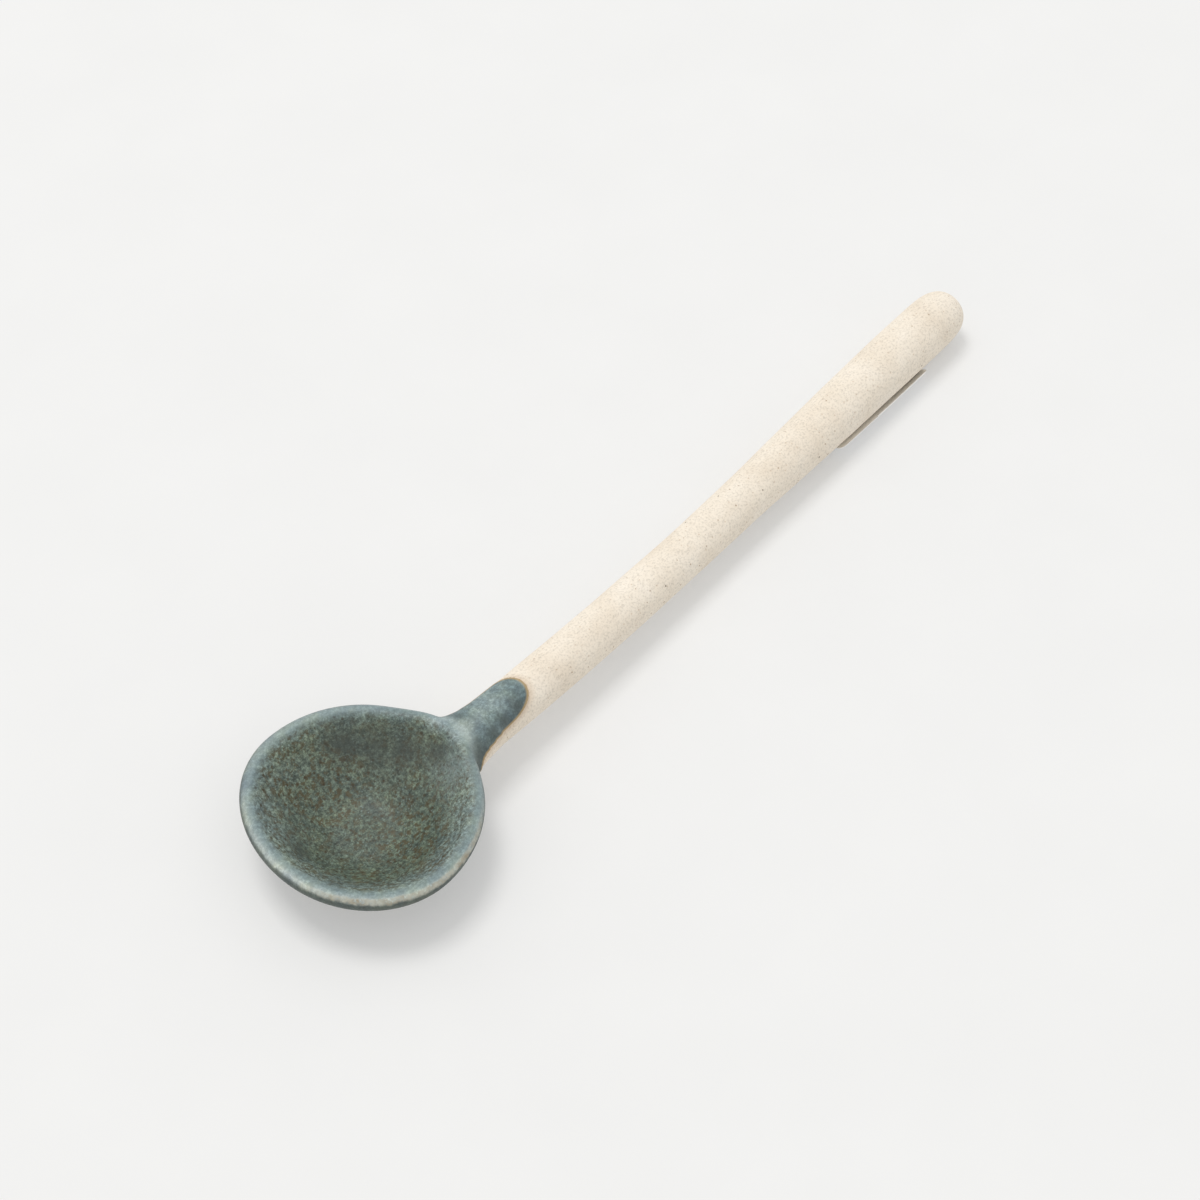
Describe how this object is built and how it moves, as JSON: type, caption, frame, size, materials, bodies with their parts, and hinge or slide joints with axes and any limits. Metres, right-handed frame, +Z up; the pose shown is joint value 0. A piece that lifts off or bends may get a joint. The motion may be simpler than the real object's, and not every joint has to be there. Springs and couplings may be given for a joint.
{
  "type": "spoon",
  "caption": "Hand-made stoneware spoon: a shallow round bowl under mottled blue-green glaze and a long rolled handle of bare speckled clay, with a small blank label under its far end.",
  "frame": {"origin": "centre of the flat foot under the bowl, on the surface that the spoon lies on", "axes": "+X along the handle to its far end, +Y to the left of the handle seen from above, +Z up out of the bowl"},
  "size_m": [0.2029, 0.0473, 0.0156],
  "materials": {
    "bowl_clay": "matt unglazed stoneware with fine brown speckles",
    "handle_clay": "matt unglazed stoneware with fine brown speckles",
    "slip": "matt fired slip",
    "glaze": "satin mottled blue-green stoneware glaze, paler where it breaks over the rim",
    "label_paper": "blank coated label paper",
    "label_adhesive": "clear pressure-sensitive adhesive film"
  },
  "bodies": {
    "root": {"bowl": "bowl_clay", "handle": "handle_clay", "slip_seam": "slip", "glaze_coat": "glaze", "label_paper": "label_paper", "label_adhesive": "label_adhesive"}
  },
  "joints": []
}
